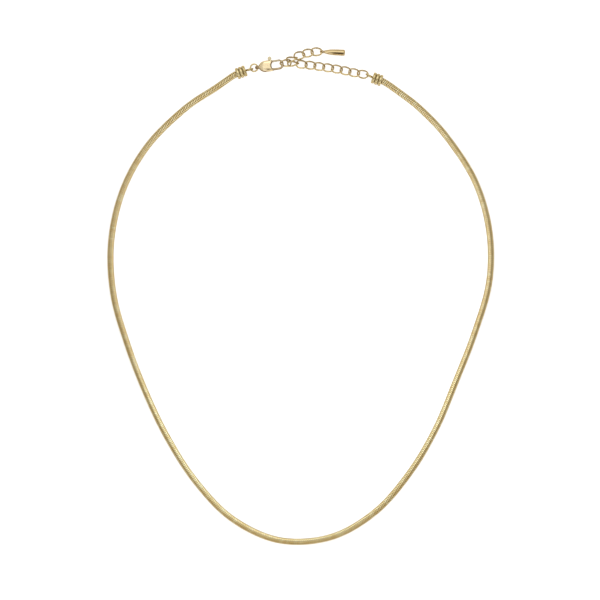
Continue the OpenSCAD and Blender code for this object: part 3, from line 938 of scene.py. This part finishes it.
def body_stations():
    """The clasp body from its narrow tail over its nose to its straight front."""
    nose_rise = CLASP_HALF_W - TAIL_HALF_W
    nose_r = (NOSE_LENGTH ** 2 + nose_rise ** 2) / (2 * nose_rise)
    stations = []
    for x in np.linspace(0.0, CLASP_LENGTH, BODY_STATIONS):
        back = max(0.0, NOSE_LENGTH - x)
        half = CLASP_HALF_W - nose_r + math.sqrt(nose_r ** 2 - back ** 2)
        dome = CLASP_HALF_T - CLASP_DOME_R + math.sqrt(CLASP_DOME_R ** 2 - (x - CLASP_DOME_AT) ** 2)
        stations.append((x, -half, half, dome))
    return stations


def joint_painted_shade(x, y):
    """Painted shade at the slanted joint of gate and hook."""
    return band(np.hypot(x - JOINT_PLACE[0], y - JOINT_PLACE[1]), *TIP_BAND)


def body_painted_shade(x, y, z):
    """Painted shade on the eye, the hollow front edge, the nose's lower edge, the slot, the joint's tip and
    the hook."""
    eye = EYE_SHADE * (1 - ramp(x, *EYE_SHADE_END)) * (np.abs(y) < EYE_SHADE_HALF_W)
    front_middle = CLASP_LENGTH + FRONT_R - FRONT_DEPTH
    front = band(np.hypot(x - front_middle, y - FRONT_SIDE) - FRONT_R - FRONT_BAND_IN, *FRONT_BAND)
    front *= x < CLASP_LENGTH + FRONT_BAND_PAST
    stations = np.array(body_stations())
    from_edge = np.interp(x, stations[:, 0], stations[:, 2]) + y
    nose = band(from_edge - NOSE_BAND_IN, *NOSE_BAND) * (x > NOSE_BAND_START) * (1 - ramp(x, *NOSE_BAND_END))
    slot = band(np.abs(z) - SLOT_HALF_T, *SLOT_BAND) * (y > SLOT_BAND_FROM) * (x < CLASP_LENGTH)
    from_wire = np.where(x < HOOK_REACH, -y, np.hypot(x - HOOK_REACH, y)) - HOOK_R
    hook = HOOK_SHADE + band(np.abs(from_wire) - HOOK_WIRE / 2, *HOOK_EDGE_BAND)
    hook *= x > CLASP_LENGTH - HOOK_SHADE_IN
    return np.maximum.reduce([eye, front, nose, slot, joint_painted_shade(x, y), hook])


def lever_painted_shade(x, y, z):
    """Painted shade at the body, over the gate and more along its outer edge, at the joint's tip and a little
    on the knob.
    """
    root = band(x - CLASP_LENGTH, *LEVER_ROOT_BAND) * (y < HOOK_R + LEVER_ROOT_SIDE)
    gate = GATE_SHADE + band(y - HOOK_R - GATE_W / 2, *GATE_EDGE_BAND)
    gate *= x > CLASP_LENGTH
    knob = band(np.hypot(x - NUB_PLACE[0], y - NUB_PLACE[1] - KNOB_BAND_LIFT), *KNOB_BAND)
    knob *= y > NUB_PLACE[1] - KNOB_BAND_REACH
    return np.maximum.reduce([root, gate, joint_painted_shade(x, y), knob])


def joint_cutter(way):
    """Cuts the gate's side, 1, or the hook's side, -1, of the slanted joint away."""
    reach = JOINT_SPAN / 2
    middle = way * (JOINT_SPAN - JOINT_GAP) / 2
    low = (middle - reach, -reach, -reach)
    return block(low, (middle + reach, reach, reach), JOINT_SLANT, (*JOINT_PLACE, 0))


def make_clasp_body(finish):
    """The cast body with its slot and hollow front, its eye and the fixed hook."""
    slot = block((PIN_PLACE[0] - SLOT_R, PIN_PLACE[1] - SLOT_R, -SLOT_HALF_T), (*SLOT_CORNER, SLOT_HALF_T))
    upright = Matrix.Rotation(math.radians(90), 3, "X")
    eye_room = drum(CLASP_EYE_HOLE_R + EYE_ROOM_WALLS * CLASP_EYE_WALL, EYE_ROOM_WIDTHS * CLASP_EYE_W,
                    (0, 0, 0), upright)
    front = Skin([level_circle(FRONT_R + flare, whole_turn(FRONT_ROUND), z) for z, flare in FRONT_FLARE],
                 closed_ends=True)
    front.placed(None, (CLASP_LENGTH + FRONT_R - FRONT_DEPTH, FRONT_SIDE, 0))
    body = ([rounded_bar(body_stations(), BODY_POWER, BODY_ROUND)], [slot, eye_room, front])

    rim = []
    for a in whole_turn(EYE_RIM_STEPS):
        width = bowed(math.cos(a), EYE_RIM_POWERS[0])
        height = bowed(math.sin(a), EYE_RIM_POWERS[1])
        radius = CLASP_EYE_HOLE_R + CLASP_EYE_WALL / 2 * (1 + width)
        rim.append(upright_circle(radius, whole_turn(EYE_RIM_ROUND), CLASP_EYE_W / 2 * height))
    eye = ([Skin(rim, joined=True)], [])

    bend = level_circle(HOOK_R, np.radians(np.linspace(*HOOK_SWEEP, HOOK_STEPS))) + (HOOK_REACH, 0, 0)
    root = CLASP_LENGTH - HOOK_ROOT
    x = np.linspace(root, HOOK_REACH, SHANK_STEPS, endpoint=False)
    shank = np.stack([x, 0 * x - HOOK_R, 0 * x], axis=1)
    swell = np.interp(x, [root, CLASP_LENGTH + HOOK_SETTLE], [HOOK_ROOT_SWELL, 1.0])
    thick = HOOK_WIRE / 2 * np.concatenate([swell, np.ones(HOOK_STEPS)])
    hook = ([wire(np.vstack([shank, bend]), thick, HOOK_SIDES, closed_ends=True)], [joint_cutter(-1)])
    cast("clasp_body_cast", [body, eye, hook], BODY_VOXEL, BODY_ROUNDS, body_painted_shade, finish,
         "necklace", "clasp_body")


# The lever's bore round the rivet, the soft rims of its root and its knob, and the grain of its melted skin
BORE_PLAY = 0.045
BORE_HALF = 2.0
ROOT_EDGE = 0.08
NUB_EDGE = 0.16
NUB_PROUD = 0.02
ARM_POWER = 4
STEM_POWER = 5
LEVER_VOXEL = 0.034
LEVER_ROUNDS = 3


def make_lever(finish):
    """The gate: its round root on the rivet, its arm and its thumb knob on a short stem."""
    half = LEVER_T / 2
    bore = drum(PIN_R + BORE_PLAY, BORE_HALF, (*PIN_PLACE, 0))
    arm_sides = (HOOK_R - GATE_W / 2, HOOK_R + GATE_W / 2, half)
    arm_ends = (PIN_PLACE[0], JOINT_PLACE[0] + GATE_W)
    arm = ([rounded_bar([(x, *arm_sides) for x in arm_ends], ARM_POWER)], [joint_cutter(1), bore])
    root = ([drum(LEVER_ROOT_R, half, (*PIN_PLACE, 0), edge=ROOT_EDGE)], [bore])
    stem_sides = (PIN_PLACE[1] + PIN_R, NUB_PLACE[1], half)
    stem_ends = (NUB_PLACE[0] - STEM_HALF_W, NUB_PLACE[0] + STEM_HALF_W)
    stem = ([rounded_bar([(x, *stem_sides) for x in stem_ends], STEM_POWER)], [bore])
    knob = ([drum(NUB_R + NUB_PROUD, half + NUB_PROUD, (*NUB_PLACE, 0), edge=NUB_EDGE)], [])
    cast("clasp_lever_cast", [arm, root, stem, knob], LEVER_VOXEL, LEVER_ROUNDS, lever_painted_shade, finish,
         "lever", "clasp_lever")


# The rivet's spread and domed end: how far past its length, radius, and how dark, a painted shade where it
# meets the body
RIVET_END = [(0.03, 0.0, 0), (0.02, 0.15, 0), (0.0, 0.25, 0.1), (-0.04, PIN_R, 0.8)]
RIVET_STEPS = 40


def make_pin(finish):
    """The rivet, both ends alike."""
    start = [(-PIN_LENGTH / 2 - past, radius, dark) for past, radius, dark in RIVET_END]
    outline = start + [(-x, radius, dark) for x, radius, dark in reversed(start)]
    skin = turned_profile(outline, RIVET_STEPS)
    skin.placed(Matrix.Rotation(math.radians(90), 3, "Y"), (*PIN_PLACE, 0))
    skin.placed(turned(0, 0, CLASP_YAW), CLASP_PLACE)
    skin_piece("clasp_rivet", [skin], finish, "clasp_pin")


# Camera, floor and light

# The middle of the view, its width at the height of the chain, and that height, in millimetres; the lens;
# and the nearest distance that is seen, in metres
VIEW_MIDDLE = (-0.31, -1.5)
VIEW_WIDTH = 200.0
VIEW_LEVEL = 1.0
VIEW_LENS = 100.0
VIEW_SENSOR = 36.0
VIEW_NEAREST = 0.01

# Half the floor's side in metres, its tone and how much it glows
FLOOR_HALF = 3.0
FLOOR_TONE = 0.55
FLOOR_GLOW = 0.74

# The studio's tone from low to high: height counts most, and the back and the sides count as higher. First
# the lowest and the highest stop, then those between.
SKY_BY_HEIGHT = 0.8
SKY_BY_BACK = 0.3
SKY_BY_SIDE = 0.45
SKY_STOPS = [
    (0.05, (0.21, 0.17, 0.12)), (0.9, (0.74, 0.73, 0.70)),
    (0.2, (0.44, 0.38, 0.29)), (0.55, (0.62, 0.57, 0.46)),
]
# The dark camera and its stand, which the fittings' polish mirrors: how far to the front they lie, where
# their edge begins and ends to the sides and to front and back, and their tone
STAND_LEAN = 0.48
STAND_SIDE = (0.12, 0.28)
STAND_DEPTH = (0.32, 0.42)
STAND_TONE = (0.03, 0.012, 0.008)


def make_camera():
    """A long lens straight down, as in the photograph."""
    data = bpy.data.cameras.new("camera")
    data.lens = VIEW_LENS
    data.sensor_width = VIEW_SENSOR
    data.clip_start = VIEW_NEAREST
    camera = put("camera", data)
    height = VIEW_WIDTH * VIEW_LENS / VIEW_SENSOR + VIEW_LEVEL
    camera.location = (VIEW_MIDDLE[0] * MM, VIEW_MIDDLE[1] * MM, height * MM)
    bpy.context.scene.camera = camera


def make_floor():
    """A white floor that glows a little, so that it is as even as a paper sweep."""
    finish = Finish("floor_white")
    finish.set("Base Color", (FLOOR_TONE, FLOOR_TONE, FLOOR_TONE, 1))
    finish.set("Emission Color", (1, 1, 1, 1))
    finish.set("Emission Strength", FLOOR_GLOW)
    finish.set("Roughness", 0.9)
    finish.set("Specular IOR Level", 0.1)
    work = bmesh.new()
    bmesh.ops.create_grid(work, x_segments=1, y_segments=1, size=FLOOR_HALF)
    mesh = bpy.data.meshes.new("floor")
    work.to_mesh(mesh)
    work.free()
    mesh.materials.append(finish.material)
    floor = put("floor", mesh)


def make_softbox(name, place, aim, width, length, power, colour=(1, 1, 1), shape="RECTANGLE"):
    """A lamp with a flat face, which the camera doesn't see."""
    data = bpy.data.lights.new(name, "AREA")
    data.shape = shape
    data.size = width
    data.size_y = length
    data.energy = power
    data.color = colour
    lamp = put(name, data)
    lamp.location = place
    lamp.rotation_euler = (Vector(aim) - Vector(place)).to_track_quat("-Z", "Y").to_euler()
    lamp.visible_camera = False


def make_surroundings():
    """A studio that is bright overhead, behind the clasp and at the sides, brown at the front and low down,
    with a dark place overhead and a little to the front, where the camera and its stand are."""
    world = bpy.data.worlds.new("studio")
    world.use_nodes = True
    studio = Graph(world.node_tree)
    way = studio.node("SeparateXYZ", None, studio.node("TexCoord").outputs["Generated"])
    side, back, height = [Value(studio, output) for output in way.outputs]
    side = abs(side)
    lift = height * SKY_BY_HEIGHT + back * SKY_BY_BACK + side * SKY_BY_SIDE
    tone = studio.node("ValToRGB", {"stops": SKY_STOPS}, lift).outputs[0]
    outside = studio.between(side, *STAND_SIDE).or_more(studio.between(abs(back + STAND_LEAN), *STAND_DEPTH))
    sky = studio.tree.nodes["Background"]
    studio.feed(sky.inputs["Color"], studio.mixed(outside, STAND_TONE, tone))
    sky.inputs["Strength"].default_value = 1.0
    bpy.context.scene.world = world


# The necklace

make_camera()
bpy.context.scene.view_settings.view_transform = "Standard"

# Each gold's bright and deep tone, the shade painted in its hollows, its roughness and its rim
CHAIN_RIM = (0.22, 0.16, 0.07)
RIM = (0.42, 0.26, 0.12)
chain_gold = gold("chain_gold", (1.0, 0.95, 0.64), (0.82, 0.64, 0.31), (0.20, 0.12, 0.04), 0.18, CHAIN_RIM,
                  plates=True)
cap_gold = gold("cap_gold", (0.60, 0.50, 0.275), (0.47, 0.37, 0.175), (0.12, 0.07, 0.025), 0.12, RIM)
link_gold = gold("link_gold", (0.62, 0.50, 0.27), (0.54, 0.42, 0.20), (0.16, 0.09, 0.035), 0.12, RIM)
clasp_gold = gold("clasp_gold", (0.83, 0.70, 0.46), (0.75, 0.62, 0.385), (0.20, 0.11, 0.04), 0.2, RIM)
lever_gold = gold("lever_gold", (0.75, 0.68, 0.49), (0.66, 0.57, 0.37), (0.18, 0.10, 0.04), 0.16, RIM)
drop_gold = gold("drop_gold", (0.60, 0.475, 0.27), (0.52, 0.395, 0.205), (0.20, 0.11, 0.04), 0.03, RIM,
                 scratch=0.02)

make_chain(chain_gold)
make_cap("end_cap_left", LEFT_FACE, LEFT_CAP_YAW, LEFT_EYE_YAW, cap_gold)
make_cap("end_cap_right", RIGHT_FACE, RIGHT_CAP_YAW, RIGHT_EYE_YAW, cap_gold)
make_jump_ring(link_gold)
make_links(link_gold)
make_drop(drop_gold)
make_clasp_body(clasp_gold)
make_lever(lever_gold)
make_pin(lever_gold)

make_floor()
make_surroundings()

# Lamps, in metres and watts. The panels hang low, each where one stretch of the necklace mirrors it.
COOL = (0.64, 0.82, 1.0)
PALE = (0.80, 0.86, 1.0)
WARM = (1.0, 0.92, 0.70)
make_softbox("softbox_behind_clasp", (0, 0.9, 0.9), (0, 0, 0), 1.0, 0.8, 1.6)
make_softbox("panel_left", (-0.024, 0.015, 0.037), (-0.024, 0.015, 0), 0.036, 0.10, 0.0115, PALE, "ELLIPSE")
make_softbox("panel_right", (0.032, 0.004, 0.035), (0.032, 0.004, 0), 0.026, 0.112, 0.0158, PALE, "ELLIPSE")
make_softbox("panel_over_bottom", (0, -0.03, 0.034), (0, -0.081, 0), 0.09, 0.036, 0.0175, COOL)
make_softbox("panel_over_clasp", (0, 0.115, 0.085), (0, 0.115, 0), 0.12, 0.1, 0.02)
make_softbox("panel_before_clasp", (-0.0122, 0.054, 0.03), (-0.0122, 0.054, 0), 0.007, 0.033, 0.00042, WARM)
make_softbox("panel_at_front", (0, -0.14, 0.06), (0, -0.081, 0), 0.16, 0.1, 0.032, WARM)
